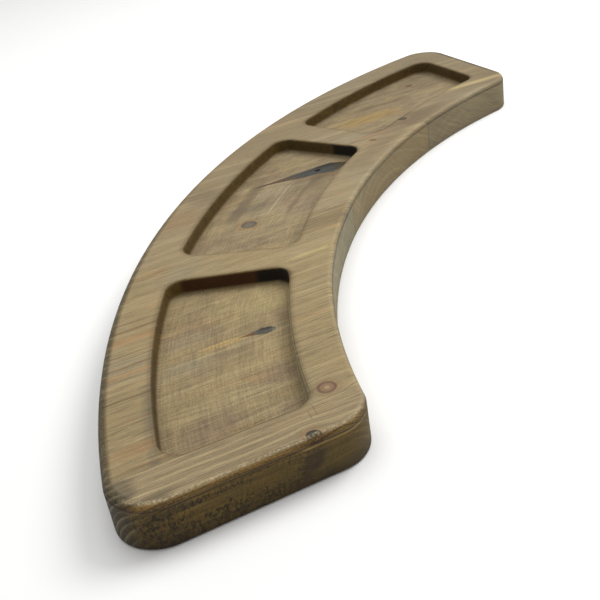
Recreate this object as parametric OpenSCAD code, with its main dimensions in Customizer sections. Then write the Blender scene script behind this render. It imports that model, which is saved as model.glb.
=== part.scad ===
// A flat, arc-shaped board of solid softwood with three shallow pockets routed into its top.
// It is cut from a panel of wide staves glued edge to edge; each stave is one node.
//
// Frame: millimetres. +Z is up and the underside lies on z = 0. +Y points from the hollow
// (inner) edge to the bulging (outer) edge, along the board's line of symmetry. The origin is
// on the underside, half-way between the two arcs, on that line of symmetry.

/* [Plan of the board] */
// Width of the board, from the inner arc to the outer arc
board_w = 166; // [120:1:220]
// Radius of the inner arc
inner_r = 538; // [400:1:800]
// Angle between each end face and the line of symmetry
end_angle = 44.7; // [30:0.1:60]
// How far the line of each end face passes from the arcs' centre
end_offset = 94; // [40:1:140]
// Plan radius of the board's four corners
corner_r = 30; // [8:0.5:45]

/* [Section] */
// Thickness of the panel
thick = 34; // [24:0.5:48]
// Roundover along the top edges
edge_r = 4; // [2:0.5:8]
// How far the roundover's centre lies beyond its true centre, which leaves a faint arris
edge_break = 1; // [0.5:0.5:2]

/* [Pockets] */
// Depth of the pockets below the top
pocket_depth = 13; // [6:0.5:20]
// Width of the rim along the outer arc
rim_outer = 36; // [20:0.5:50]
// Width of the rim along the inner arc
rim_inner = 33; // [20:0.5:50]
// Distance from the arcs' centre of the point that all the pockets' sides aim at
fan_centre = 166; // [60:1:240]
// Angle from the line of symmetry to each side of the middle pocket
mid_side_angle = 14.5; // [8:0.1:20]
// Angle from the line of symmetry to the inner side of each end pocket
near_side_angle = 19.3; // [16:0.1:28]
// Angle from the line of symmetry to the outer side of each end pocket
far_side_angle = 43.5; // [34:0.1:50]
// Plan radius of the pockets' corners
pocket_corner_r = 14.5; // [6:0.5:25]

/* [Staves] */
// Width of one full stave
stave_w = 121.8; // [60:1:150]
// Angle between the glue joints and the line of symmetry
grain_angle = 43.1; // [35:0.1:50]
// Distance of the first glue joint's line from the arcs' centre
first_joint = 108.4; // [95:1:160]

/* [Hidden] */
$fn = 180;
outer_r = inner_r + board_w;
mid_r = inner_r + board_w / 2;
pocket_ri = inner_r + rim_inner;
pocket_ro = outer_r - rim_outer;
far = 2 * outer_r;
// Each corner's circle is this much smaller than a tangent one, so that it starts at a
// definite line on the walls on either side.
seam = 0.05;

// A point given by its offset p outwards from the line through the arcs' centre at angle a
// from the line of symmetry, and by its distance q along that line.
function at(a, p, q) = [p * cos(a) + q * sin(a), q * cos(a) - p * sin(a)];
// Offset of the line through the fan centre at angle a.
function fan_p(a) = -fan_centre * sin(a);
// Distance along its line at which a point of offset p has the radius r.
function along(r, p) = sqrt(r * r - p * p);

// The plan of a corner's waste: what lies outside the corner circle of radius r, which
// touches the line of offset p (waste on its side s) and the arc (waste outside it if t = 1,
// inside it if t = -1).
module corner_waste(a, p, s, arc_r, t, r, h) {
    cp = p - s * r;
    cq = along(arc_r - t * r, cp);
    c = at(a, cp, cq);
    u = c / norm(c);
    reach = 3 * r;
    foot = at(a, cp + s * reach, cq);
    tip = at(a, cp + s * reach, cq + t * reach);
    rim = c + t * reach * u;
    difference() {
        linear_extrude(height = h) polygon([c, foot, tip, rim]);
        translate([c[0], c[1], -1]) cylinder(r = r - seam, h = h + 2);
    }
}

// A wedge of the fan between two angles.
module fan(a0, a1, h) {
    linear_extrude(height = h)
        polygon([[0, fan_centre], [0, fan_centre] + far * [sin(a0), cos(a0)],
                 [0, fan_centre] + far * [sin(a1), cos(a1)]]);
}

module ring(r0, r1, h) {
    difference() {
        cylinder(r = r1, h = h);
        translate([0, 0, -1]) cylinder(r = r0, h = h + 2);
    }
}

// Everything between the two end faces' lines.
module end_wedge(h) {
    apex = [0, end_offset / sin(end_angle)];
    linear_extrude(height = h)
        polygon([apex, apex + far * [sin(end_angle), cos(end_angle)],
                 apex + far * [-sin(end_angle), cos(end_angle)]]);
}

// Plan of the board, full height.
module blank() {
    difference() {
        intersection() {
            ring(inner_r, outer_r, thick);
            end_wedge(thick);
        }
        for (m = [0, 1]) mirror([m, 0, 0]) translate([0, 0, -1]) {
            corner_waste(end_angle, -end_offset, 1, outer_r, 1, corner_r, thick + 2);
            corner_waste(end_angle, -end_offset, 1, inner_r, -1, corner_r, thick + 2);
        }
    }
}

// The pocket in the middle and the one at the +X end; the -X end's is its mirror image.
module middle_pocket() {
    difference() {
        intersection() {
            ring(pocket_ri, pocket_ro, thick);
            fan(-mid_side_angle, mid_side_angle, thick);
        }
        for (m = [0, 1]) mirror([m, 0, 0]) translate([0, 0, -1]) {
            corner_waste(mid_side_angle, fan_p(mid_side_angle), 1, pocket_ro, 1,
                         pocket_corner_r, thick + 2);
            corner_waste(mid_side_angle, fan_p(mid_side_angle), 1, pocket_ri, -1,
                         pocket_corner_r, thick + 2);
        }
    }
}

module end_pocket() {
    difference() {
        intersection() {
            ring(pocket_ri, pocket_ro, thick);
            fan(near_side_angle, far_side_angle, thick);
        }
        translate([0, 0, -1])
            for (t = [1, -1]) {
                corner_waste(far_side_angle, fan_p(far_side_angle), 1,
                             t > 0 ? pocket_ro : pocket_ri, t, pocket_corner_r, thick + 2);
                corner_waste(near_side_angle, fan_p(near_side_angle), -1,
                             t > 0 ? pocket_ro : pocket_ri, t, pocket_corner_r, thick + 2);
            }
    }
}

module pockets() {
    translate([0, 0, thick - pocket_depth]) {
        middle_pocket();
        for (m = [0, 1]) mirror([m, 0, 0]) end_pocket();
    }
}

// Section of the waste above a roundover: the edge is at x = 0 and the wood at x < 0. The arc
// leaves the top and the side at a slight angle, as a sanded-off roundover does.
module edge_section() {
    c = edge_r + edge_break;
    translate([-c, -c]) difference() {
        square(c + 2);
        circle(r = norm([c, edge_break]));
    }
}

// Waste along the arcs, along both end faces and round the four corners.
module edge_waste() {
    p = -end_offset - corner_r;
    q_out = along(outer_r - corner_r, p);
    q_in = along(inner_r + corner_r, p);
    c_out = at(end_angle, p, q_out);
    c_in = at(end_angle, p, q_in);
    a_out = atan2(c_out[0], c_out[1]);
    a_in = atan2(c_in[0], c_in[1]);
    // degrees, and millimetres, that the long cuts run on past the start of the corners
    run = 0.06;
    over = 0.6;
    translate([0, 0, thick]) {
        rotate([0, 0, 90 - a_out - run]) rotate_extrude(angle = 2 * (a_out + run))
            translate([outer_r, 0]) edge_section();
        rotate([0, 0, 90 - a_in - run]) rotate_extrude(angle = 2 * (a_in + run))
            translate([inner_r, 0]) mirror([1, 0]) edge_section();
        for (m = [0, 1]) mirror([m, 0, 0]) {
            rotate([0, 0, -end_angle]) translate([-end_offset, q_in - over, 0])
                rotate([90, 0, 180]) mirror([1, 0, 0])
                    linear_extrude(height = q_out - q_in + 2 * over) edge_section();
            translate([c_out[0], c_out[1], 0]) rotate([0, 0, -end_angle])
                rotate_extrude(angle = 90 - a_out + end_angle)
                    translate([corner_r - seam, 0]) edge_section();
            translate([c_in[0], c_in[1], 0]) rotate([0, 0, -90 - a_in])
                rotate_extrude(angle = 90 + a_in - end_angle)
                    translate([corner_r - seam, 0]) edge_section();
        }
    }
}

module board() {
    difference() {
        blank();
        pockets();
        edge_waste();
    }
}

// Stave number k is the strip of the panel between two glue joints.
module stave(k) {
    color(k % 2 == 0 ? [0.62, 0.50, 0.34] : [0.68, 0.56, 0.39])
        translate([0, -mid_r, 0])
            intersection() {
                board();
                rotate([0, 0, grain_angle])
                    translate([first_joint + (k - 2) * stave_w, -outer_r / 4, -1])
                        cube([stave_w, 1.5 * outer_r, thick + 2]);
            }
}

module stave_1() { stave(1); }
module stave_2() { stave(2); }
module stave_3() { stave(3); }
module stave_4() { stave(4); }
module stave_5() { stave(5); }
module stave_6() { stave(6); }

stave_1();
stave_2();
stave_3();
stave_4();
stave_5();
stave_6();
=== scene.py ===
"""Arc-shaped pine board with three routed pockets: the six glued staves and the studio."""
import math
import bmesh
import bpy
import numpy as np
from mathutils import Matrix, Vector, kdtree, noise
from mathutils.geometry import delaunay_2d_cdt


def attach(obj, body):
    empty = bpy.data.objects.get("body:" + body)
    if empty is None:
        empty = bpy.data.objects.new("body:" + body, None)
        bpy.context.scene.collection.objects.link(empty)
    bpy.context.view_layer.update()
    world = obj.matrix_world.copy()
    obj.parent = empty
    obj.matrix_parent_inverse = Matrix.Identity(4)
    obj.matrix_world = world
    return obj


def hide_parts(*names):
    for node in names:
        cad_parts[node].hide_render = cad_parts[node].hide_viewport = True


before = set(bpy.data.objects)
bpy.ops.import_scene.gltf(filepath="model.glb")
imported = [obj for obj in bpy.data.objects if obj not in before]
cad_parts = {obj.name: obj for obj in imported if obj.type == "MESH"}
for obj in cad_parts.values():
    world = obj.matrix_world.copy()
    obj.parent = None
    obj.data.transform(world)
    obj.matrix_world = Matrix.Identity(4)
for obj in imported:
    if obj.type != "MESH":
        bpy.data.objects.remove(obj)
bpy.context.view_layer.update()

MM = 0.001
# ---- the same dimensions as part.scad, in millimetres -------------------------------------
BOARD_W, INNER_R = 166.0, 538.0
END_ANGLE, END_OFFSET, CORNER_R = 44.7, 94.0, 30.0
THICK, EDGE_R = 34.0, 4.0
POCKET_DEPTH, RIM_OUTER, RIM_INNER = 13.0, 36.0, 33.0
FAN_CENTRE, MID_SIDE, NEAR_SIDE, FAR_SIDE = 166.0, 14.5, 19.3, 43.5
POCKET_CORNER_R = 14.5
STAVE_W, GRAIN_ANGLE, FIRST_JOINT, N_STAVES = 121.8, 43.1, 108.4, 6
OUTER_R = INNER_R + BOARD_W
MID_R = INNER_R + BOARD_W / 2
POCKET_RI, POCKET_RO = INNER_R + RIM_INNER, OUTER_R - RIM_OUTER
# ---- details too fine for the CAD ----------------------------------------------------------
FOOT_R = 1.6          # ease along the bottom edges
STEP = 0.4            # ledge left by the cutter at the foot of the top edge's rounding
POCKET_EASE = 1.8     # ease round the mouths of the pockets
FLOOR_FILLET = 3.0    # fillet left by the cutter at the foot of the pockets' walls
WALL_LEVELS = (6, 12, 18, 24)
GRID = 3.2            # spacing of the surface points
UNDER_GRID = 14.0     # and on the underside
ROW = 0.866           # height of a row of points in units of the spacing
KNOT_RINGS, KNOT_POINTS = 7, 16
# darker stain near an edge: (distance in from the rounding, strength)
EDGE_BAND = ((0.5, 0.85), (1.8, 0.45), (3.2, 0.0))
# painted shade and stain round each pocket's mouth, the walls' colour carried onto the top:
# (distance out from the ease, strength)
MOUTH_SHADE_AND_STAIN = ((3.6, 0.0), (1.6, 0.16), (0.4, 0.42))
UNDER_STAIN = 0.6
SHRINK = 0.9996       # keeps the finer corners inside the CAD's box

GRAIN = math.radians(GRAIN_ANGLE)
ACROSS = Vector((math.cos(GRAIN), math.sin(GRAIN)))     # plan direction across the staves
ALONG = Vector((-math.sin(GRAIN), math.cos(GRAIN)))     # plan direction of the grain


def at(a, p, q):
    """Plan point from its offset p off, and its place q along, the line at angle a."""
    a = math.radians(a)
    return Vector((p * math.cos(a) + q * math.sin(a), q * math.cos(a) - p * math.sin(a)))


def fan(a):
    """Offset of the pocket's side line at angle a, so that the lines meet at one centre."""
    return -FAN_CENTRE * math.sin(math.radians(a))


def plan(sides, r0, r1, rc, d, pitch):
    """A closed loop round a piece of the ring r0..r1 between two side lines, moved d inwards.

    A side is (angle, offset, s, mirrored); s = 1 keeps what lies beyond the line's offset
    towards the line of symmetry. The number of points doesn't depend on d.
    """
    def corner(side, t):
        a, p0, s, m = side
        p = p0 - s * d - s * (rc - d)
        arc = (r1 if t > 0 else r0) - t * d
        q = math.sqrt((arc - t * (rc - d)) ** 2 - p * p)
        c = at(a, p, q)
        on_arc = c + t * (rc - d) * c.normalized()
        on_line = at(a, p0 - s * d, q)
        if m:
            c, on_arc, on_line = (Vector((-v.x, v.y)) for v in (c, on_arc, on_line))
        return c, on_arc, on_line

    def sweep(c, p0, p1, n):
        a0 = math.atan2(p0.y - c.y, p0.x - c.x)
        a1 = math.atan2(p1.y - c.y, p1.x - c.x)
        turn = (a1 - a0 + math.pi) % (2 * math.pi) - math.pi
        r = (p0 - c).length
        return [c + r * Vector((math.cos(a0 + turn * k / n), math.sin(a0 + turn * k / n)))
                for k in range(n)]

    def straight(p0, p1, n):
        return [p0.lerp(p1, k / n) for k in range(n)]

    first, second = sides
    width = r1 - r0
    n_corner = max(8, int(rc * 1.6 / pitch * 1.6))
    n_side = max(6, int(width / pitch))
    mid = Vector((0, 0))
    c1, a1, l1 = corner(first, 1)
    c2, a2, l2 = corner(second, 1)
    c3, a3, l3 = corner(second, -1)
    c4, a4, l4 = corner(first, -1)
    span = abs(math.atan2(a1.x, a1.y) - math.atan2(a2.x, a2.y))
    # the count comes from the plan's own size, so it is the same at every inset
    n_out = COUNT.setdefault((first, r1, "o"), int(span * r1 / pitch))
    n_in = COUNT.setdefault((first, r0, "i"), int(span * r0 / pitch))
    pts = sweep(c1, l1, a1, n_corner) + sweep(mid, a1, a2, n_out)
    pts += sweep(c2, a2, l2, n_corner) + straight(l2, l3, n_side)
    pts += sweep(c3, l3, a3, n_corner) + sweep(mid, a3, a4, n_in)
    pts += sweep(c4, a4, l4, n_corner) + straight(l4, l1, n_side)
    return pts


COUNT = {}
END_L = (END_ANGLE, -END_OFFSET, 1, True)
END_R = (END_ANGLE, -END_OFFSET, 1, False)


def board_plan(d, pitch=3.0):
    """The board's outline, moved d inwards."""
    return plan((END_L, END_R), INNER_R, OUTER_R, CORNER_R, d, pitch)


POCKETS = {
    "left": ((FAR_SIDE, fan(FAR_SIDE), 1, True), (NEAR_SIDE, fan(NEAR_SIDE), -1, True)),
    "middle": ((MID_SIDE, fan(MID_SIDE), 1, True), (MID_SIDE, fan(MID_SIDE), 1, False)),
    "right": ((NEAR_SIDE, fan(NEAR_SIDE), -1, False), (FAR_SIDE, fan(FAR_SIDE), 1, False)),
}


def pocket_plan(name, d, pitch=2.4):
    """A pocket's outline, moved d inwards."""
    return plan(POCKETS[name], POCKET_RI, POCKET_RO, POCKET_CORNER_R, d, pitch)


def inside(points, loop):
    """Which of the points lie inside the closed loop."""
    x, y = points[:, 0], points[:, 1]
    odd = np.zeros(len(points), bool)
    for k in range(len(loop)):
        (x0, y0), (x1, y1) = loop[k - 1], loop[k]
        if y0 == y1:
            continue
        hit = ((y0 > y) != (y1 > y)) & (x < (x1 - x0) * (y - y0) / (y1 - y0) + x0)
        odd ^= hit
    return odd


# ---- knots: (across, along, radius across, radius along), on the top or a pocket's floor ----
TOP_KNOTS = [
    (117.5, 546.0, 6.6, 7.2), (84.0, 573.0, 5.0, 6.0), (466.0, 323.0, 4.2, 4.8),
    (495.5, 271.5, 5.0, 6.0),
]
FLOOR_KNOTS = [(397.0, 488.5, 6.6, 7.8), (616.0, 194.0, 4.0, 5.0)]
PITH_HOLE = (466.0, 387.0, 2.3)


def wood_xy(across, along):
    """Plan point from its place across and along the staves."""
    return ACROSS * across + ALONG * along


def relief(x, y, z):
    """Height error of the top or a floor at a plan point, mm: sanding waves and knots."""
    v = Vector((x, y, 0.0))
    w = 0.16 * noise.noise(v * 0.012) + 0.05 * noise.noise(v * 0.07 + Vector((9, 3, 1)))
    p = Vector((x, y))
    s, t = p.dot(ACROSS), p.dot(ALONG)
    on_floor = z < THICK - POCKET_DEPTH / 2
    for kx, ky, rx, ry in (FLOOR_KNOTS if on_floor else TOP_KNOTS):
        d = math.hypot((s - kx) / rx, (t - ky) / ry)
        if d < 1.8:
            w += 0.22 * math.exp(-((d - 0.95) / 0.25) ** 2) - 0.18 * math.exp(-(d / 0.5) ** 2)
    if on_floor:
        hx, hy, hr = PITH_HOLE
        d = math.hypot(s - hx, (t - hy) * 0.7) / hr
        if d < 1.6:
            w -= 2.6 * max(0.0, 1.0 - d * d) + 0.3 * math.exp(-((d - 1.1) / 0.3) ** 2)
    return min(w, 0.0) if not on_floor else w


bm = bmesh.new()
ZONES = {name: bm.verts.layers.float.new(name) for name in ("side", "wall", "floor", "edge", "end")}


def ring(points, z, **zones):
    """Points of a closed loop at height z, with how square its side stands to the grain."""
    out = []
    for k, p in enumerate(points):
        v = bm.verts.new((p.x, p.y, z))
        run = points[(k + 1) % len(points)] - points[k - 1]
        v[ZONES["end"]] = abs(run.normalized().dot(ACROSS))
        for name, value in zones.items():
            v[ZONES[name]] = value
        out.append(v)
    return out


def bridge(a, b):
    """Faces between two loops with the same number of points."""
    for k in range(len(a)):
        bm.faces.new((a[k - 1], a[k], b[k], b[k - 1]))


def fill(loops, z, up, spacing, extra=(), **zones):
    """A sheet of triangles inside loops[0] and outside the others, with points of its own."""
    ends = [v for loop in loops for v in loop]
    flat = [Vector((v.co.x, v.co.y)) for v in ends]
    edges, k = [], 0
    for loop in loops:
        edges += [(k + i, k + (i + 1) % len(loop)) for i in range(len(loop))]
        k += len(loop)
    tree = kdtree.KDTree(len(flat))
    for i, p in enumerate(flat):
        tree.insert((p.x, p.y, 0), i)
    tree.balance()
    xs = [p.x for p in flat]
    ys = [p.y for p in flat]
    rows = []
    row = 0
    y = min(ys) + spacing / 2
    while y < max(ys):
        x = min(xs) + (spacing / 2 if row % 2 else 0.0)
        while x < max(xs):
            rows.append((x, y))
            x += spacing
        y += spacing * ROW
        row += 1
    for kx, ky, rx, ry in extra:
        c = wood_xy(kx, ky)
        for m in range(1, KNOT_RINGS + 1):
            for j in range(KNOT_POINTS):
                a = 2 * math.pi * (j + 0.5 * (m % 2)) / KNOT_POINTS
                o = wood_xy(rx * m / 4.2 * math.cos(a), ry * m / 4.2 * math.sin(a))
                rows.append((c.x + o.x, c.y + o.y))
    grid = np.array(rows)
    loops_xy = [[(v.co.x, v.co.y) for v in loop] for loop in loops]
    keep = inside(grid, loops_xy[0])
    for other in loops_xy[1:]:
        keep &= ~inside(grid, other)
    inner = [Vector(p) for p in grid[keep] if tree.find((p[0], p[1], 0))[2] > spacing * 0.55]
    pts, _, tris, orig, _, _ = delaunay_2d_cdt(flat + inner, edges, [], 0, 1e-5)
    verts = []
    for i, p in enumerate(pts):
        source = [o for o in orig[i] if o < len(ends)]
        if source:
            verts.append(ends[source[0]])
        else:
            v = bm.verts.new((p.x, p.y, z))
            for name, value in zones.items():
                v[ZONES[name]] = value
            verts.append(v)
    mids = np.array([[sum(pts[i].x for i in t) / 3, sum(pts[i].y for i in t) / 3] for t in tris])
    keep = inside(mids, loops_xy[0])
    for other in loops_xy[1:]:
        keep &= ~inside(mids, other)
    for t, ok in zip(tris, keep):
        if ok and len({verts[i] for i in t}) == 3:
            f = [verts[i] for i in t]
            bm.faces.new(f if up else f[::-1])
    for v in [v for v in verts if not v.link_faces]:
        bm.verts.remove(v)


def joint_line(j):
    """Place across the staves of the joint between stave j and the next one."""
    return FIRST_JOINT + STAVE_W * (j - 1)


def quarter(n):
    """n + 1 angles over a quarter turn."""
    return [math.pi / 2 * k / n for k in range(n + 1)]


# outside: bottom ease, wall, roundover
rings = []
for a in quarter(3):
    rings.append(ring(board_plan(FOOT_R * (1 - math.sin(a))), FOOT_R * (1 - math.cos(a)), side=1.0))
for z in WALL_LEVELS:
    rings.append(ring(board_plan(0.0), z, side=1.0))
rings.append(ring(board_plan(0.0), THICK - EDGE_R - STEP, side=1.0))
for k, a in enumerate(quarter(7)):
    rings.append(ring(board_plan(STEP + (EDGE_R - STEP) * (1 - math.cos(a))),
                      THICK - EDGE_R + EDGE_R * math.sin(a),
                      side=1.0 - 0.1 * (k / 7.0) ** 2, edge=min(1.0, k / 3.0)))
for inset, strength in EDGE_BAND:
    rings.append(ring(board_plan(EDGE_R + inset), THICK, side=strength))
for a, b in zip(rings, rings[1:]):
    bridge(a, b)
top_loops = [rings[-1]]
fill([rings[0]], 0.0, False, UNDER_GRID, side=UNDER_STAIN)

# the pockets: mouth, wall, fillet, floor
for name in POCKETS:
    # painted shade and stain: the top round the mouth takes some of the walls' colour
    rings = [ring(pocket_plan(name, -POCKET_EASE - outset), THICK, wall=strength)
             for outset, strength in MOUTH_SHADE_AND_STAIN]
    for a in quarter(4):
        rings.append(ring(pocket_plan(name, -POCKET_EASE * (1 - math.sin(a))),
                          THICK - POCKET_EASE * (1 - math.cos(a)),
                          wall=min(1.0, 0.3 + a), edge=0.5 * math.sin(2 * a)))
    foot = THICK - POCKET_DEPTH + FLOOR_FILLET
    for k in (1, 2):
        z = THICK - POCKET_EASE + (foot - THICK + POCKET_EASE) * k / 3
        rings.append(ring(pocket_plan(name, 0.0), z, wall=1.0))
    for a in quarter(5):
        rings.append(ring(pocket_plan(name, FLOOR_FILLET * (1 - math.cos(a))),
                          foot - FLOOR_FILLET * math.sin(a),
                          wall=1.0 - 0.85 * math.sin(a) ** 2, floor=math.sin(a) ** 2))
    rings.append(ring(pocket_plan(name, FLOOR_FILLET + 0.5), THICK - POCKET_DEPTH, floor=1.0))
    for a, b in zip(rings, rings[1:]):
        bridge(b, a)
    top_loops.append(rings[0])
    extra = FLOOR_KNOTS + [(PITH_HOLE[0], PITH_HOLE[1], 2.6, 3.6)]
    fill([rings[-1]], THICK - POCKET_DEPTH, True, GRID, extra, floor=1.0)
fill(top_loops, THICK, True, GRID, TOP_KNOTS)

for v in bm.verts:
    level = v.co.z
    if abs(level - THICK) < 0.01 or abs(level - THICK + POCKET_DEPTH) < 0.01:
        v.co.z += relief(v.co.x, v.co.y, level)
bmesh.ops.recalc_face_normals(bm, faces=bm.faces)


# ---- materials --------------------------------------------------------------------------
class Graph:
    """Short names for the shader nodes used here. Lengths in the graph are millimetres."""

    def __init__(self, name):
        self.mat = bpy.data.materials.new(name)
        self.mat.use_nodes = True
        self.nodes = self.mat.node_tree.nodes
        self.links = self.mat.node_tree.links
        self.nodes.clear()

    def put(self, socket, value):
        if isinstance(value, bpy.types.NodeSocket):
            self.links.new(value, socket)
        else:
            socket.default_value = value

    def math(self, op, a, b=0.0):
        n = self.nodes.new("ShaderNodeMath")
        n.operation = op
        self.put(n.inputs[0], a)
        self.put(n.inputs[1], b)
        return n.outputs[0]

    def add(self, a, b):
        return self.math("ADD", a, b)

    def sub(self, a, b):
        return self.math("SUBTRACT", a, b)

    def mul(self, a, b):
        return self.math("MULTIPLY", a, b)

    def invert(self, a):
        return self.sub(1.0, a)

    def root(self, a, b):
        """sqrt(a^2 + b^2)"""
        return self.math("SQRT", self.add(self.mul(a, a), self.mul(b, b)))

    def step(self, x, lo, hi):
        """0 below lo, 1 above hi, smooth between; the other way round if lo > hi."""
        n = self.nodes.new("ShaderNodeMapRange")
        n.interpolation_type = "SMOOTHSTEP"
        flip = lo > hi
        self.put(n.inputs["Value"], x)
        n.inputs["From Min"].default_value = min(lo, hi)
        n.inputs["From Max"].default_value = max(lo, hi)
        n.inputs["To Min"].default_value = 1.0 if flip else 0.0
        n.inputs["To Max"].default_value = 0.0 if flip else 1.0
        return n.outputs["Result"]

    def bell(self, x, centre, width):
        """exp(-((x - centre) / width)^2)"""
        d = self.mul(self.sub(x, centre), 1.0 / width)
        return self.math("POWER", math.e, self.mul(self.mul(d, d), -1.0))

    def vector(self, x, y, z):
        n = self.nodes.new("ShaderNodeCombineXYZ")
        for s, v in zip(n.inputs, (x, y, z)):
            self.put(s, v)
        return n.outputs[0]

    def split(self, v):
        n = self.nodes.new("ShaderNodeSeparateXYZ")
        self.put(n.inputs[0], v)
        return n.outputs

    def noise(self, x, y, z, detail=3.0, rough=0.55, warp=0.0):
        n = self.nodes.new("ShaderNodeTexNoise")
        self.put(n.inputs["Vector"], self.vector(x, y, z))
        n.inputs["Scale"].default_value = 1.0
        n.inputs["Detail"].default_value = detail
        n.inputs["Roughness"].default_value = rough
        n.inputs["Distortion"].default_value = warp
        return n.outputs["Fac"]

    def swing(self, *args):
        """Noise about zero."""
        return self.sub(self.noise(*args), 0.5)

    def mix(self, fac, a, b, kind="MIX"):
        n = self.nodes.new("ShaderNodeMix")
        n.data_type, n.blend_type = "RGBA", kind
        self.put(n.inputs["Factor"], fac)
        for s, v in ((n.inputs[6], a), (n.inputs[7], b)):
            self.put(s, v if isinstance(v, bpy.types.NodeSocket) else (*v, 1.0))
        return n.outputs[2]

    def ramp(self, x, stops):
        """A curve through the stops. The first two are its ends; the others come in order."""
        n = self.nodes.new("ShaderNodeValToRGB")
        els = n.color_ramp.elements
        for k, (p, v) in enumerate(stops):
            e = els[k] if k < 2 else els.new(p)
            e.position = p
            e.color = (v, v, v, 1.0)
        self.put(n.inputs[0], x)
        return n.outputs[0]

    def attribute(self, name):
        n = self.nodes.new("ShaderNodeAttribute")
        n.attribute_name = name
        return n.outputs["Fac"]

    def mapping(self, vector, **inputs):
        n = self.nodes.new("ShaderNodeMapping")
        for name, value in inputs.items():
            n.inputs[name].default_value = value
        self.links.new(vector, n.inputs["Vector"])
        return n.outputs[0]


def srgb(r, g, b):
    """A linear colour from 8-bit display values."""
    return tuple(c / 12.92 if c <= 0.04045 else ((c + 0.055) / 1.055) ** 2.4
                 for c in (r / 255, g / 255, b / 255))


# colours that all the staves share
# the second colour is painted shade for the bottom of the sides
TORN, LOW_SHADE = srgb(28, 18, 7), srgb(44, 33, 16)
END_DARK, END_PALE, PIT = srgb(36, 28, 14), srgb(126, 115, 84), srgb(34, 26, 14)
AMBER_DARK, AMBER, RESIN = srgb(84, 60, 26), srgb(134, 103, 48), srgb(44, 31, 17)
# painted shade under the rounding's ledge, a painted highlight, and pale wear with a painted
# highlight on the arris
LEDGE_SHADE, GLEAM, RUBBED_AND_GLINT = srgb(38, 27, 12), srgb(158, 134, 80), srgb(204, 188, 150)
WALL_END, WALL_LINE, WALL_MOTTLE = srgb(84, 68, 38), srgb(92, 72, 34), srgb(52, 38, 16)
# the first colour is painted light for the pocket walls that face outwards
WALL_LIT_PAINT, CHAR, HOLE_DARK = srgb(172, 160, 124), srgb(9, 6, 4), srgb(8, 7, 7)

SEED_STEP = 37.3      # moves each stave's noise away from its neighbours'
ARC_SCALE = 600.0     # turns an angle round the arc into about a millimetre along it
NEAR_X = 84.0         # grain coordinate of the near end's face, give or take the rounding
LATE_WOOD = [(0.0, 0.15), (1.0, 0.25), (0.12, 0.0), (0.5, 0.10), (0.72, 0.45), (0.84, 1.0),
             (0.93, 0.9)]


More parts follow.
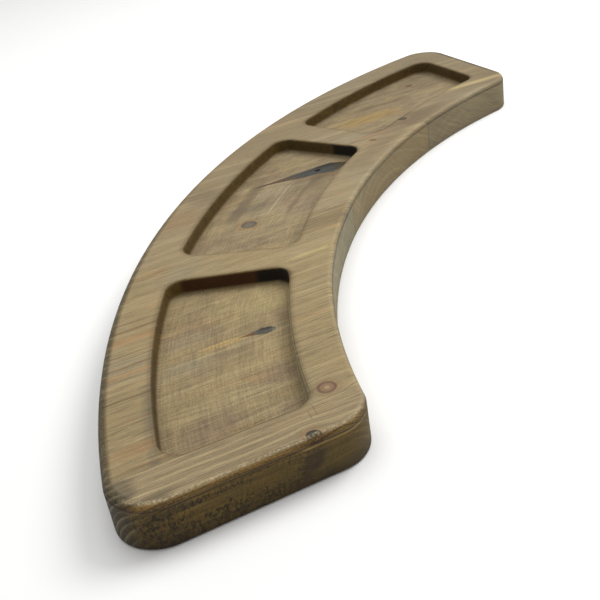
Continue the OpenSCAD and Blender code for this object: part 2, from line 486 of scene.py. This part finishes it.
class Pine(Graph):
    """Stained pine for stave k, laid down in layers on self.col and self.light.

    look holds the stave's own growth, colours, knots and marks. (x, y, z) are grain
    coordinates: across the staves, along them, and up. (px, py) are plan coordinates.
    """

    def __init__(self, k, look):
        super().__init__("pine_stave_%d" % k)
        self.k, self.look, self.seed = k, look, SEED_STEP * k
        self.find_zones()
        self.grow()
        self.lay_fibres()
        self.base_colour()
        self.mark_floors()
        self.add_smudges()
        self.add_arcs()
        self.add_streaks()
        self.add_knots()
        self.add_spikes()
        self.add_hole()
        self.add_scratches()
        self.stain_sides()
        self.stain_near_end()
        self.stain_walls()
        self.arris_wear_and_glint()
        self.draw_glue()
        self.finish()

    def find_zones(self):
        coord = self.nodes.new("ShaderNodeTexCoord")
        plan_mm = self.mapping(coord.outputs["Object"], Scale=(1 / MM, 1 / MM, 1 / MM),
                               Location=(0.0, MID_R, 0.0))
        self.px, self.py = self.split(plan_mm)[:2]
        self.x, self.y, self.z = self.split(self.mapping(plan_mm, Rotation=(0.0, 0.0, -GRAIN)))
        self.radius = self.root(self.px, self.py)
        self.angle = self.math("ARCTAN2", self.px, self.py)
        self.turned = self.math("DEGREES", self.angle)
        geometry = self.nodes.new("ShaderNodeNewGeometry")
        self.nx, self.ny, self.nz = self.split(geometry.outputs["Normal"])
        self.wall, self.floor, self.edge = (self.attribute(n) for n in ("wall", "floor", "edge"))
        self.top = self.invert(self.floor)
        self.inner = self.step(self.radius, INNER_R + 45.0, INNER_R + 5.0)
        level = self.step(self.nz, 0.25, 0.75)
        self.end_grain = self.mul(self.step(self.attribute("end"), 0.55, 0.92),
                                  self.invert(self.inner))
        side = self.mul(self.attribute("side"), self.invert(self.mul(level, self.inner)))
        self.side = self.mul(side, self.invert(self.mul(level, self.invert(self.end_grain))))

    def place(self, name):
        return self.floor if name == "floor" else self.top

    def paint(self, mask, colour):
        self.col = self.mix(mask, self.col, colour)

    def shade(self, mask, amount):
        """Darken by the amount where the mask is 1."""
        self.light = self.mul(self.light, self.invert(self.mul(mask, amount)))

    def ellipse(self, x, y, rx, ry):
        """Distance from (x, y), in units of the two radii."""
        return self.root(self.mul(self.sub(self.x, x), 1.0 / rx),
                         self.mul(self.sub(self.y, y), 1.0 / ry))

    def grow(self):
        """Growth rings round the pith. The grain wanders, and bends round each knot."""
        g, s, x, y, z, seed = self, self.look, self.x, self.y, self.z, self.seed
        wander = g.swing(g.mul(x, 0.02), g.mul(y, 0.0045), g.add(g.mul(z, 0.02), seed), 2.0)
        g.fine_wander = g.swing(g.mul(x, 0.09), g.mul(y, 0.012),
                                g.add(g.mul(z, 0.05), seed + 5), 2.0)
        bent = g.add(x, g.add(g.mul(wander, s["wander"]), g.mul(g.fine_wander, 2.2)))
        for kx, ky, rx, ry in s.get("bends", ()):
            u = g.mul(g.sub(x, kx), 1.0 / (rx * 1.7))
            v = g.mul(g.sub(y, ky), 1.0 / (ry * 2.3))
            push = g.math("POWER", math.e, g.mul(g.add(g.mul(u, u), g.mul(v, v)), -1.0))
            bent = g.sub(bent, g.mul(g.mul(u, push), rx * 1.5))
        g.bent = bent
        pith_x, pith_z = s["pith"]
        rad = g.root(g.sub(bent, pith_x), g.sub(z, pith_z))
        uneven = g.swing(g.mul(rad, 0.045), seed, 0.0, 2.0)
        year = g.math("FRACT", g.add(g.mul(rad, 1.0 / s["ring"]), g.mul(uneven, 2.0)))
        strength = g.noise(g.mul(rad, 0.21), g.mul(y, 0.003), seed + 2, 1.0)
        g.late = g.mul(g.ramp(year, LATE_WOOD), g.step(strength, 0.26, 0.56))

    def lay_fibres(self):
        """Broad strands, hairlines, short dark pores, fuzz, and the drift of the stain."""
        g, y, z, seed = self, self.y, self.z, self.seed
        across = g.add(g.bent, g.mul(z, 0.8))
        g.strand = g.swing(g.mul(across, 0.55), g.mul(y, 0.011), seed, 3.0, 0.65)
        contour = g.noise(g.mul(across, 0.19), g.mul(y, 0.0045), seed + 11, 2.0, 0.5)
        shown = g.noise(g.mul(across, 0.3), g.mul(y, 0.02), seed + 13, 2.0)
        g.hairline = g.mul(g.bell(g.math("FRACT", g.mul(contour, 11.0)), 0.5, 0.15),
                           g.step(shown, 0.42, 0.62))
        g.fibre = g.swing(g.mul(across, 1.15), g.mul(y, 0.042), seed + 1, 3.0, 0.7)
        g.hair = g.swing(g.mul(across, 3.4), g.mul(y, 0.14), seed + 2, 2.0, 0.6)
        g.pores = g.step(g.noise(g.mul(across, 1.0), g.mul(y, 0.055), seed + 8, 2.0, 0.5),
                         0.58, 0.72)
        g.blotch = g.swing(g.mul(g.px, 0.013), g.mul(g.py, 0.013), g.add(g.mul(z, 0.02), seed),
                           3.0, 0.5)
        g.cloud = g.swing(g.mul(g.bent, 0.085), g.mul(y, 0.011), g.add(g.mul(z, 0.085), seed + 3),
                          3.0, 0.55)
        g.speck = g.swing(g.mul(g.px, 0.9), g.mul(g.py, 0.9), g.mul(z, 0.9), 3.0, 0.75)

    def base_colour(self):
        """The stain leaves the dense late wood lighter."""
        g, s = self, self.look
        g.col = g.mix(g.mul(g.late, s["contrast"]), s["early"], s["late"])
        g.paint(g.mul(g.step(g.cloud, 0.02, 0.24), s["warmth"]), s["warm"])
        g.paint(g.mul(g.step(g.blotch, -0.02, 0.20), 0.45), s["grey"])
        light = g.add(1.0, g.add(g.mul(g.strand, 0.62 * s["figure"]),
                                 g.mul(g.fibre, 1.15 * s["grit"])))
        light = g.add(light, g.add(g.mul(g.hair, 0.40), g.mul(g.speck, 0.60)))
        g.light = g.add(light, g.mul(g.blotch, 0.30))
        g.shade(g.mul(g.pores, g.top), 0.30 * s["figure"])
        g.shade(g.mul(g.hairline, g.top), 0.30 * s["figure"])

    def mark_floors(self):
        """Cutter marks along the pockets, the sander's cross scratches, and uneven stain."""
        g, s, radius, seed = self, self.look, self.radius, self.seed
        along = g.mul(g.angle, ARC_SCALE)
        g.track = g.swing(g.mul(radius, 0.75), g.mul(along, 0.05), seed, 3.0, 0.65)
        g.cross = g.swing(g.mul(radius, 0.07), g.mul(along, 0.85), seed + 4, 3.0, 0.65)
        swath = g.swing(g.mul(radius, 0.075), g.mul(along, 0.011), 2.0, 1.0)
        flecks = g.step(g.noise(g.mul(radius, 0.95), g.mul(along, 0.55), seed + 31, 3.0, 0.7),
                        0.55, 0.66)
        weave = g.add(g.mul(g.track, 0.85), g.add(g.mul(g.cross, 0.26), g.mul(swath, 0.45)))
        weave = g.add(weave, g.add(g.mul(flecks, 0.22), g.mul(g.speck, 0.45)))
        g.light = g.add(g.light, g.mul(g.floor, weave))
        g.shade(g.floor, 0.07)
        patch = g.noise(g.mul(g.px, 0.030), g.mul(g.py, 0.030), seed + 21, 4.0, 0.65)
        g.paint(g.mul(g.mul(g.step(patch, 0.48, 0.66), g.floor), 0.42), s["stain"])
        g.paint(g.mul(g.mul(g.step(patch, 0.46, 0.32), g.floor), 0.45), s["fresh"])

    def add_smudges(self):
        """(x, y, rx, ry, colour, strength, place)"""
        g = self
        for x, y, rx, ry, colour, amount, place in g.look.get("smudges", ()):
            d = g.add(g.ellipse(x, y, rx, ry), g.mul(g.add(g.cloud, g.strand), 1.1))
            g.paint(g.mul(g.step(d, 1.25, 0.25), g.mul(g.place(place), amount)), colour)

    def add_arcs(self):
        """Along the arc: (radius, angle0, angle1, half width, colour, strength, place)"""
        g = self
        fade = 1.5
        for r0, a0, a1, w, colour, amount, place in g.look.get("arcs", ()):
            drift = g.mul(g.add(g.strand, g.cloud), w * 0.8)
            off = g.math("ABSOLUTE", g.sub(g.add(g.radius, drift), r0))
            span = g.mul(g.step(g.turned, a0, a0 + fade), g.step(g.turned, a1, a1 - fade))
            mask = g.mul(g.step(off, w, w * 0.25), span)
            where = g.floor if place == "floor" else g.mul(g.top, g.step(g.speck, -0.18, 0.10))
            g.paint(g.mul(mask, g.mul(where, amount)), colour)

    def add_streaks(self):
        """Resin and heartwood along the grain: (x, y0, y1, half width, colour, strength, place)"""
        g = self
        for x, y0, y1, w, colour, amount, place in g.look.get("streaks", ()):
            drift = g.mul(g.add(g.fine_wander, g.strand), w * 0.9)
            off = g.math("ABSOLUTE", g.sub(g.add(g.x, drift), x))
            run = y1 - y0
            mask = g.mul(g.step(off, w, w * 0.30), g.mul(g.step(g.y, y0, y0 + run * 0.25),
                                                         g.step(g.y, y1, y1 - run * 0.4)))
            g.paint(g.mul(g.mul(mask, g.place(place)), amount), colour)

    def add_knots(self):
        """(x, y, rx, ry, heart, rim, place, strength)"""
        g, s = self, self.look
        deep = g.step(g.z, THICK - 8.0, THICK - 3.0)
        for x, y, rx, ry, heart, rim, place, amount in s.get("knots", ()):
            wob = g.mul(g.swing(g.mul(g.x, 0.14), g.mul(g.y, 0.14), g.seed, 1.0), 0.35)
            d = g.add(g.ellipse(x, y, rx, ry), wob)
            here = g.mul(g.floor if place == "floor" else g.mul(deep, g.top), amount)
            body = g.mul(g.step(d, 1.12, 0.86), here)
            band = g.mul(g.bell(d, 0.86, 0.17), here)
            halo = g.mul(g.bell(d, 1.35, 0.40), here)
            circles = g.mul(g.math("SINE", g.mul(d, 20.0)), 0.06 + 0.06 * s["ringed"])
            heart_col = g.mix(g.add(0.25, circles), heart, tuple(c * 0.6 for c in heart))
            heart_col = g.mix(g.mul(g.step(d, 0.34, 0.08), 0.5 * s["ringed"]), heart_col,
                              s["late"])
            g.paint(g.mul(halo, 0.45), s["blush"])
            g.paint(g.mul(body, 0.90), heart_col)
            g.paint(g.mul(band, 0.75), rim)
            # the figure and fuzz of the timber fade out inside the knot
            g.light = g.add(g.mul(g.light, g.invert(g.mul(body, 0.6))), g.mul(body, 0.6))

    def add_spikes(self):
        """Knots cut lengthwise: (x head, x tail, y0, y1, half width, profile, head, body, tail)"""
        g, s = self, self.look
        for x0, x1, y0, y1, w, profile, head, middle, tail in s.get("spikes", ()):
            t = g.mul(g.sub(g.y, y0), 1.0 / (y1 - y0))
            from_centre = g.sub(g.x, g.add(x0, g.mul(t, x1 - x0)))
            half = g.add(g.mul(g.ramp(t, profile), w), 0.02)
            off = g.math("DIVIDE", g.math("ABSOLUTE", from_centre), half)
            d = g.add(off, g.mul(g.add(g.mul(g.fibre, 0.8), g.speck), 0.45))
            within = g.mul(g.step(t, -0.02, 0.01), g.step(t, 1.02, 0.94))
            body = g.mul(g.mul(g.step(d, 1.12, 0.80), within), g.floor)
            blush = g.mul(g.mul(g.bell(off, 1.45, 0.55), g.step(t, 0.8, 0.3)),
                          g.mul(within, g.floor))
            colour = g.mix(g.step(t, 0.05, 0.22), head, middle)
            colour = g.mix(g.step(t, 0.45, 0.70), colour, tail)
            sooty = g.mul(g.step(from_centre, -w * 0.1, w * 0.5), g.step(t, 0.5, 0.25))
            g.paint(g.mul(blush, 0.30), s["blush"])
            g.paint(g.mul(body, 0.94), g.mix(sooty, colour, s["soot"]))

    def add_hole(self):
        """The dark pith hole: (x, y, radius)"""
        if self.look.get("hole"):
            x, y, r = self.look["hole"]
            d = self.ellipse(x, y, r, r / 0.75)
            self.paint(self.mul(self.step(d, 1.25, 0.85), self.floor), HOLE_DARK)

    def add_scratches(self):
        """Shallow scratches across the grain: (x0, x1, y)"""
        g = self
        for x0, x1, y in g.look.get("scratches", ()):
            off = g.math("ABSOLUTE", g.sub(g.add(g.y, g.mul(g.sub(g.x, x0), 0.12)), y))
            run = g.mul(g.step(g.x, x0, x0 + 2.0), g.step(g.x, x1, x1 - 3.0))
            g.shade(g.mul(g.step(off, 0.55, 0.15), run), 0.30)

    def stain_sides(self):
        """The sides drank more stain, the end grain most; torn fibre is darkest. The sides also get
        painted shade towards the bottom.
        """
        g, s, x, y, z = self, self.look, self.x, self.y, self.z
        near = g.step(x, 130.0, NEAR_X)
        tears = g.step(g.noise(g.mul(y, 0.022), g.mul(z, 0.08), g.seed + 6, 2.0), 0.34, 0.50)
        tears = g.mul(tears, g.mul(g.step(z, 30.0, 25.0), g.step(y, 560.0, 610.0)))
        torn = g.noise(g.add(g.mul(z, 0.30), g.mul(y, 0.12)), g.mul(y, 0.42), g.mul(x, 0.3), 3.0,
                       0.7, 1.2)
        torn = g.mul(g.step(torn, 0.50, 0.60), g.add(0.25, g.mul(tears, 0.75)))
        g.torn = g.mul(torn, g.add(0.12, g.mul(near, 0.88)))
        col = g.mix(1.0, g.col, s["side"], "MULTIPLY")
        weathered = g.mul(g.inner, g.mul(g.step(x, 92.0, 125.0), s["weather"]))
        col = g.mix(weathered, col, s["inside"])
        col = g.mix(g.mul(g.torn, 0.85), col, TORN)
        # painted shade: the sides darker towards the bottom, most at the near end
        low_shade = g.mul(g.step(z, 15.0, 0.0), g.add(0.15, g.mul(near, 0.50)))
        col = g.mix(low_shade, col, LOW_SHADE)
        end_col = g.mix(g.add(0.10, g.mul(g.late, s["ends"])), END_DARK, END_PALE)
        g.pits = g.step(g.noise(g.mul(g.px, 1.1), g.mul(g.py, 1.1), g.mul(z, 1.1), 2.0, 0.6),
                        0.52, 0.68)
        end_col = g.mix(g.mul(g.pits, 0.45), end_col, PIT)
        g.paint(g.side, g.mix(g.mul(g.end_grain, s["thirst"]), col, end_col))

    def stain_near_end(self):
        """Amber along the near end's rounding, a painted dark line of shade under the rounding, a
        painted gleam on the near face, and a run of resin below.
        """
        g, s, z = self, self.look, self.z
        near_end = g.mul(g.step(g.x, 104.0, 80.0), g.invert(g.end_grain))
        amber = g.mul(g.bell(z, THICK - 2.6, 2.3), g.mul(near_end, g.step(g.nz, 0.92, 0.75)))
        g.paint(g.mul(amber, 0.80),
                g.mix(g.step(g.add(g.strand, g.speck), -0.12, 0.14), AMBER_DARK, AMBER))
        if s.get("resin"):
            y, level, along, up = s["resin"]
            rise = g.sub(z, level)
            d = g.root(g.mul(g.sub(g.add(g.y, g.mul(rise, 0.5)), y), 1.0 / along),
                       g.mul(rise, 1.0 / up))
            resin = g.step(g.add(d, g.mul(g.strand, 1.2)), 1.2, 0.3)
            g.paint(g.mul(g.mul(resin, g.mul(near_end, g.side)), 0.70), RESIN)
        foot = THICK - EDGE_R
        # painted shade: a dark line in the crease at the foot of the top edge's rounding, all round
        # the board
        ledge = g.mul(g.bell(z, foot - 0.6, 0.9), g.step(g.nz, 0.85, 0.5))
        g.paint(g.mul(g.mul(ledge, g.invert(g.wall)), 0.80), LEDGE_SHADE)
        # painted highlight: a pale gleam along the near face below the rounding
        gleam = g.mul(g.bell(z, foot - 2.4, 0.7), g.mul(near_end, g.step(g.cloud, -0.1, 0.1)))
        g.paint(g.mul(gleam, 0.55), GLEAM)

    def stain_walls(self):
        """Pocket walls: upright cutter lines, a scorch where the cutter turned round, and painted
        light on the walls that face outwards.
        """
        g, s, px, py, radius = self, self.look, self.px, self.py, self.radius
        col = g.mix(1.0, g.col, s["wall"], "MULTIPLY")
        col = g.mix(g.mul(g.end_grain, 0.45), col, WALL_END)
        upright = g.swing(g.mul(px, 0.34), g.mul(py, 0.34), g.seed, 2.0, 0.6)
        col = g.mix(g.mul(g.step(upright, 0.0, 0.2), 0.45), col, WALL_LINE)
        mottle = g.noise(g.mul(px, 0.16), g.mul(py, 0.16), g.mul(g.z, 0.2), 3.0, 0.65)
        col = g.mix(g.mul(g.step(mottle, 0.50, 0.66), 0.40), col, WALL_MOTTLE)
        # how far a wall faces round the arc, and outwards from the arc's centre
        facing = g.math("DIVIDE", g.sub(g.mul(g.ny, px), g.mul(g.nx, py)), radius)
        outward = g.math("DIVIDE", g.add(g.mul(g.nx, px), g.mul(g.ny, py)), radius)
        # painted light: walls that face away from the arc's centre are lightened as if lit
        col = g.mix(g.mul(g.step(outward, 0.4, 0.9), 0.65), col, WALL_LIT_PAINT)
        scorch = g.step(facing, 0.86, 0.985)
        col = g.mix(g.mul(scorch, s["scorch"]), col, s["burn"])
        limit = s["char"]
        char = g.mul(scorch, g.step(radius, limit + 2.5, limit - 2.5))
        corner = g.mul(g.step(facing, 0.3, 0.6), g.step(radius, limit - 16.0, limit - 19.0))
        char = g.mul(g.math("MAXIMUM", char, corner), g.step(g.turned, 32.0, 28.0))
        g.paint(g.wall, g.mix(g.mul(char, 0.95), col, CHAR))

    def arris_wear_and_glint(self):
        """The top arris: pale rubbed wear and a painted highlight, in places."""
        g = self
        wear_glint = g.step(g.noise(g.mul(g.px, 0.5), g.mul(g.py, 0.5), g.mul(g.z, 0.9), 4.0, 0.8),
                     0.42, 0.66)
        arris = g.bell(g.z, THICK - 0.5, 0.55)
        where = g.mul(g.edge, g.add(0.25, g.mul(g.step(g.x, 96.0, NEAR_X), 0.75)))
        # painted highlight with pale wear along the top arris, most at the near end
        g.paint(g.mul(g.mul(g.mul(arris, wear_glint), where), 0.60), RUBBED_AND_GLINT)

    def draw_glue(self):
        """A hair of dark glue along each joint of this stave."""
        for j in range(max(1, self.k - 1), min(N_STAVES - 1, self.k) + 1):
            off = self.math("ABSOLUTE", self.sub(self.x, joint_line(j)))
            self.shade(self.step(off, 0.5, 0.1), 0.34)

    def finish(self):
        """The shader, with a bump whose height is in millimetres."""
        g = self
        bright = g.nodes.new("ShaderNodeCombineColor")
        for socket in bright.inputs[:3]:
            g.put(socket, g.light)
        col = g.mix(1.0, g.col, bright.outputs[0], "MULTIPLY")
        height = g.add(g.mul(g.late, 0.04), g.add(g.mul(g.fibre, 0.16), g.mul(g.hair, 0.05)))
        height = g.sub(height, g.mul(g.add(g.pores, g.hairline), 0.05))
        scored = g.mul(g.floor, g.add(g.track, g.mul(g.cross, 0.4)))
        height = g.add(height, g.mul(scored, 0.16))
        rugged = g.add(g.mul(g.torn, 0.45), g.mul(g.mul(g.pits, g.end_grain), 0.30))
        height = g.sub(height, g.mul(rugged, g.add(g.side, g.mul(g.wall, 0.4))))
        bump = g.nodes.new("ShaderNodeBump")
        bump.inputs["Strength"].default_value = 0.9
        bump.inputs["Distance"].default_value = MM
        g.put(bump.inputs["Height"], height)
        shader = g.nodes.new("ShaderNodeBsdfPrincipled")
        g.put(shader.inputs["Base Color"], col)
        rough = g.add(0.60, g.add(g.mul(g.late, -0.08), g.mul(g.fibre, 0.25)))
        rough = g.add(rough, g.add(g.mul(g.floor, 0.07), g.mul(g.side, 0.08)))
        g.put(shader.inputs["Roughness"], g.math("MINIMUM", rough, 0.95))
        shader.inputs["Specular IOR Level"].default_value = 0.28
        g.links.new(bump.outputs["Normal"], shader.inputs["Normal"])
        out = g.nodes.new("ShaderNodeOutputMaterial")
        g.links.new(shader.outputs[0], out.inputs["Surface"])


KHAKI, PALE, TAN = srgb(141, 123, 87), srgb(164, 146, 108), srgb(148, 118, 77)
GREY, BLUSH, OCHRE = srgb(128, 119, 96), srgb(140, 108, 70), srgb(168, 140, 86)
SOOT = srgb(34, 31, 30)
BASE = dict(early=KHAKI, late=PALE, warm=TAN, grey=GREY, blush=BLUSH, soot=SOOT,
            stain=srgb(116, 97, 76), fresh=srgb(152, 136, 96), side=srgb(218, 216, 200),
            inside=srgb(130, 126, 102),
            wall=srgb(160, 142, 80), burn=srgb(58, 26, 4), contrast=0.6, warmth=0.55,
            ring=7.0, wander=16.0, figure=1.0, grit=1.0, ends=0.42, thirst=0.85, scorch=0.88,
            char=595.0, ringed=0.0, weather=0.55)
TEAR = [(0.0, 0.2), (1.0, 0.02), (0.12, 0.75), (0.32, 1.0), (0.6, 0.5), (0.85, 0.15)]
SPIKE = [(0.0, 0.05), (1.0, 0.02), (0.06, 0.46), (0.14, 0.86), (0.20, 1.0), (0.26, 0.85),
         (0.33, 0.66), (0.53, 0.54), (0.65, 0.34), (0.77, 0.16), (0.87, 0.09)]
STAVES = {
    1: dict(BASE, pith=(45.0, -25.0), ring=4.3, ends=0.8, contrast=0.62, wander=4.0, warmth=0.2,
            figure=0.8, early=srgb(134, 117, 86), late=srgb(170, 150, 110),
            side=srgb(165, 150, 90), wall=srgb(140, 126, 92), resin=(577.0, 17.0, 9.0, 13.0),
            knots=[(80.5, 573.5, 4.4, 4.8, srgb(50, 44, 32), srgb(44, 32, 18), "top", 1.0)],
            bends=[(82.0, 573.5, 5.0, 5.0)],
            smudges=[(80.5, 669.0, 7.0, 15.0, srgb(84, 72, 52), 0.6, "top"),
                     (96.0, 687.0, 14.0, 9.0, srgb(80, 70, 52), 0.6, "top")],
            scratches=[(95.4, 109.5, 563.5), (93.0, 104.0, 568.0)]),
    2: dict(BASE, pith=(172.0, -36.0), ring=8.5, contrast=0.45, late=srgb(166, 148, 106),
            wall=srgb(130, 117, 84), ringed=1.0, weather=0.02,
            knots=[(118.3, 546.2, 6.0, 6.5, srgb(130, 100, 74), srgb(86, 60, 43), "top", 1.0)],
            bends=[(118.3, 546.2, 6.6, 7.2), (224.5, 548.0, 6.0, 12.0)],
            spikes=[(223.8, 227.0, 538.0, 566.0, 5.0, TEAR, srgb(90, 90, 82),
                     srgb(64, 63, 56), srgb(96, 68, 38))],
            arcs=[(671.5, -41.0, -26.0, 5.5, srgb(98, 92, 74), 0.60, "top")],
            smudges=[(216.0, 612.0, 9.0, 26.0, srgb(124, 122, 100), 0.35, "floor"),
                     (138.0, 620.0, 16.0, 30.0, srgb(112, 92, 74), 0.5, "floor"),
                     (170.0, 560.0, 14.0, 26.0, srgb(118, 100, 82), 0.45, "floor")],
            blush=srgb(122, 98, 62),
            streaks=[(226.5, 556.0, 604.0, 6.0, OCHRE, 0.60, "floor"),
                     (114.0, 560.0, 650.0, 5.0, srgb(158, 122, 74), 0.60, "floor"),
                     (221.0, 590.0, 704.0, 1.6, srgb(110, 80, 50), 0.60, "top"),
                     (212.0, 590.0, 704.0, 5.0, srgb(144, 110, 70), 0.45, "top"),
                     (184.0, 590.0, 704.0, 1.6, srgb(112, 84, 54), 0.60, "top"),
                     (160.0, 600.0, 704.0, 1.4, srgb(116, 88, 58), 0.50, "top"),
                     (131.0, 600.0, 704.0, 8.0, srgb(148, 110, 70), 0.45, "top"),
                     (113.0, 600.0, 704.0, 2.0, srgb(108, 78, 52), 0.60, "top")]),
    3: dict(BASE, pith=(300.0, 62.0), ring=9.0, contrast=0.45, char=599.0, figure=0.7,
            warmth=0.45,
            smudges=[(262.0, 535.0, 20.0, 30.0, srgb(158, 142, 98), 0.7, "floor"),
                     (252.0, 600.0, 14.0, 30.0, srgb(126, 112, 90), 0.5, "floor"),
                     (336.0, 440.0, 18.0, 40.0, srgb(112, 94, 66), 0.7, "top")],
            streaks=[(290.0, 452.0, 506.0, 3.2, srgb(176, 158, 108), 0.65, "top"),
                     (267.0, 590.0, 704.0, 2.0, srgb(112, 80, 50), 0.65, "top"),
                     (277.0, 590.0, 704.0, 1.2, srgb(116, 86, 56), 0.55, "top"),
                     (254.0, 600.0, 704.0, 6.5, srgb(150, 114, 72), 0.50, "top"),
                     (236.0, 600.0, 704.0, 1.5, srgb(112, 84, 54), 0.55, "top")]),
    4: dict(BASE, pith=(420.0, -30.0), ring=9.0, contrast=0.35, char=604.0, scorch=0.7,
            figure=0.38, warmth=0.3, burn=srgb(66, 50, 18), early=srgb(138, 121, 90),
            knots=[(397.0, 488.5, 6.2, 7.4, srgb(98, 92, 78), srgb(72, 66, 56), "floor", 0.9),
                   (466.0, 323.0, 3.2, 3.6, srgb(108, 84, 60), srgb(92, 68, 48), "top", 0.8)],
            bends=[(397.0, 488.5, 6.6, 7.8), (464.0, 380.0, 12.0, 30.0)],
            spikes=[(462.8, 469.0, 355.0, 459.0, 12.6, SPIKE, srgb(58, 47, 28),
                     srgb(57, 59, 57), srgb(80, 60, 40))],
            smudges=[(428.0, 476.0, 14.0, 24.0, srgb(104, 92, 72), 0.7, "floor"),
                     (456.0, 372.0, 20.0, 44.0, srgb(82, 70, 50), 0.7, "floor"),
                     (440.0, 404.0, 24.0, 50.0, srgb(100, 88, 66), 0.45, "floor"),
                     (446.0, 440.0, 10.0, 34.0, srgb(146, 132, 104), 0.5, "floor"),
                     (400.0, 420.0, 18.0, 44.0, srgb(120, 106, 86), 0.4, "floor"),
                     (366.0, 390.0, 12.0, 60.0, srgb(152, 138, 106), 0.5, "top"),
                     (457.0, 508.0, 20.0, 26.0, srgb(110, 95, 71), 0.7, "top"),
                     (424.0, 548.0, 22.0, 30.0, srgb(136, 110, 76), 0.5, "top")],
            arcs=[(649.0, -4.5, 4.5, 8.0, srgb(96, 83, 64), 0.65, "floor"),
                  (618.5, -2.5, 4.5, 1.4, srgb(168, 156, 128), 0.6, "floor"),
                  (600.0, -2.5, 7.5, 3.2, srgb(108, 90, 70), 0.55, "floor"),
                  (556.0, 4.0, 22.0, 16.0, srgb(100, 86, 62), 0.50, "top")],
            inside=srgb(124, 119, 97), weather=0.02,
            hole=PITH_HOLE),
    5: dict(BASE, pith=(545.0, -46.0), side=srgb(212, 204, 178), inside=srgb(121, 111, 87),
            ring=10.0, contrast=0.4, char=604.0, scorch=0.7,
            figure=0.38, warmth=0.3, burn=srgb(66, 50, 18), early=srgb(128, 112, 83),
            knots=[(495.5, 271.5, 3.6, 4.6, srgb(66, 60, 46), srgb(60, 52, 38), "top", 0.95)],
            bends=[(495.5, 271.5, 5.0, 6.0)],
            arcs=[(555.0, 16.0, 46.0, 16.0, srgb(100, 84, 60), 0.50, "top")],
            smudges=[(492.0, 270.0, 22.0, 60.0, srgb(108, 92, 68), 0.7, "top"),
                     (556.0, 120.0, 60.0, 60.0, srgb(112, 98, 72), 0.5, "top")],
            streaks=[(535.5, 104.0, 218.0, 7.0, srgb(170, 152, 106), 0.70, "top"),
                     (556.0, 232.0, 334.0, 15.0, srgb(148, 122, 72), 0.75, "floor"),
                     (585.0, 200.0, 310.0, 7.0, srgb(98, 82, 58), 0.7, "floor"),
                     (497.0, 274.0, 304.0, 4.5, srgb(98, 92, 74), 0.7, "top"),
                     (478.0, 290.0, 350.0, 4.5, srgb(144, 108, 76), 0.6, "top")]),
    6: dict(BASE, pith=(660.0, -50.0), ring=9.0, contrast=0.4, early=srgb(122, 108, 82),
            side=srgb(200, 190, 166), inside=srgb(116, 104, 80),
            arcs=[(555.0, 30.0, 48.0, 16.0, srgb(100, 84, 60), 0.50, "top")],
            figure=0.38, warmth=0.3, burn=srgb(78, 62, 28), scorch=0.5, char=560.0,
            knots=[(616.0, 194.0, 3.2, 4.4, srgb(84, 68, 48), srgb(84, 66, 46), "floor", 0.8)],
            bends=[(616.0, 194.0, 4.0, 5.0)]),
}

# ---- the staves -------------------------------------------------------------------------
for k, look in STAVES.items():
    part = bm.copy()
    for joint, sign in ((k - 1, 1), (k, -1)):
        if joint in (0, N_STAVES):
            continue
        co = ACROSS * joint_line(joint)
        bmesh.ops.bisect_plane(part, geom=part.verts[:] + part.edges[:] + part.faces[:],
                               dist=1e-4, plane_co=(co.x, co.y, 0),
                               plane_no=(-sign * ACROSS.x, -sign * ACROSS.y, 0), clear_outer=True)
        rim = [e for e in part.edges if e.is_boundary]
        bmesh.ops.holes_fill(part, edges=rim, sides=0)
    bmesh.ops.recalc_face_normals(part, faces=part.faces)
    for v in part.verts:
        v.co = Vector((v.co.x * SHRINK * MM, (v.co.y - MID_R) * SHRINK * MM, v.co.z * MM))
    mesh = bpy.data.meshes.new("stave_%d_wood" % k)
    part.to_mesh(mesh)
    part.free()
    mesh.shade_smooth()
    mesh.set_sharp_from_angle(angle=math.radians(40))
    obj = bpy.data.objects.new("stave_%d_wood" % k, mesh)
    bpy.context.scene.collection.objects.link(obj)
    mesh.materials.append(Pine(k, look).mat)
    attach(obj, "root")
    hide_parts("stave_%d" % k)
bm.free()

# ---- studio -----------------------------------------------------------------------------
floor_mat = Graph("studio_floor")
fs = floor_mat.nodes.new("ShaderNodeBsdfPrincipled")
fs.inputs["Base Color"].default_value = (0.86, 0.86, 0.85, 1.0)
fs.inputs["Roughness"].default_value = 0.85
fs.inputs["Specular IOR Level"].default_value = 0.1
fo = floor_mat.nodes.new("ShaderNodeOutputMaterial")
floor_mat.links.new(fs.outputs[0], fo.inputs["Surface"])
bpy.ops.mesh.primitive_plane_add(size=30.0, location=(0, 0, -0.0003))
ground = bpy.context.object
ground.name = "studio_floor"
ground.data.materials.append(floor_mat.mat)

world = bpy.data.worlds.new("studio")
bpy.context.scene.world = world
world.use_nodes = True
world.node_tree.nodes["Background"].inputs["Color"].default_value = (1.0, 1.0, 1.0, 1.0)
world.node_tree.nodes["Background"].inputs["Strength"].default_value = 0.55


def lamp(name, place, aim, size, power):
    """A round soft lamp. Lengths in metres, power in watts."""
    data = bpy.data.lights.new(name, "AREA")
    data.shape, data.size, data.energy = "DISK", size, power
    obj = bpy.data.objects.new(name, data)
    obj.location = place
    obj.rotation_euler = (Vector(aim) - Vector(place)).to_track_quat("-Z", "Y").to_euler()
    bpy.context.scene.collection.objects.link(obj)


lamp("key", (0.9, -0.9, 1.5), (0, 0, 0), 1.2, 26.0)
lamp("top", (0.2, 0.3, 2.0), (0, 0, 0), 1.8, 16.0)

CAMERA_PLACE, CAMERA_TURN = (-0.7335, -0.3220, 0.3783), (59.593, 8.042, -71.751)
SENSOR_WIDTH, CAMERA_LENS = 36.0, 56.5
cam = bpy.data.cameras.new("camera")
cam.sensor_width, cam.lens = SENSOR_WIDTH, CAMERA_LENS
cam_obj = bpy.data.objects.new("camera", cam)
cam_obj.location = CAMERA_PLACE
cam_obj.rotation_euler = [math.radians(a) for a in CAMERA_TURN]
bpy.context.scene.collection.objects.link(cam_obj)
bpy.context.scene.camera = cam_obj
bpy.context.scene.view_settings.view_transform = "Standard"
